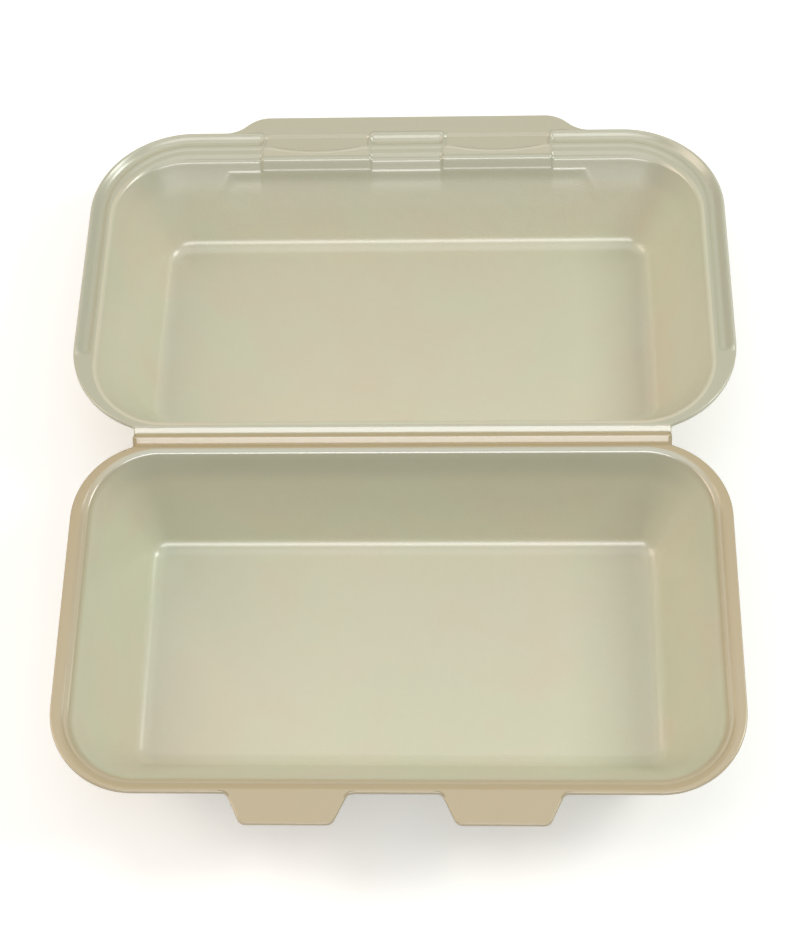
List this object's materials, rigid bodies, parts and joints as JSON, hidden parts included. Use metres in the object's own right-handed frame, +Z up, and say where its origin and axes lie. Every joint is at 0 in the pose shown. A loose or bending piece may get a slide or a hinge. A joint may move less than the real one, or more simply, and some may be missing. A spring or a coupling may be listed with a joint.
{
  "type": "foam clamshell container",
  "caption": "Hinged foam food box lying open: drafted base and lid, crimped hinge with a bead, grooved lid rim with lance-cut tab slots and a lifting flap, lock tabs on the base.",
  "frame": {"origin": "centre of the base's underside, where it rests on the table", "axes": "+X along the hinge, +Y from the base to the lid, +Z up"},
  "size_m": [0.2518, 0.3023, 0.0416],
  "materials": {
    "foam": "satin foam sheet, cream, lightly mottled"
  },
  "bodies": {
    "base": {"base": "foam"},
    "hinge_strip": {"hinge_strip": "foam"},
    "lid": {"lid": "foam"}
  },
  "joints": [
    {"name": "strip_fold", "type": "hinge", "parent": "base", "child": "hinge_strip", "pos_m": [0, 0.06735, 0.0396], "axis": [1, 0, 0], "range_deg": [0, 90]},
    {"name": "lid_fold", "type": "hinge", "parent": "hinge_strip", "child": "lid", "pos_m": [0, 0.07175, 0.0396], "axis": [1, 0, 0], "range_deg": [0, 93]}
  ],
  "couplings": [
    {"joint": "lid_fold", "follows": "strip_fold", "ratio": 1.0333}
  ]
}
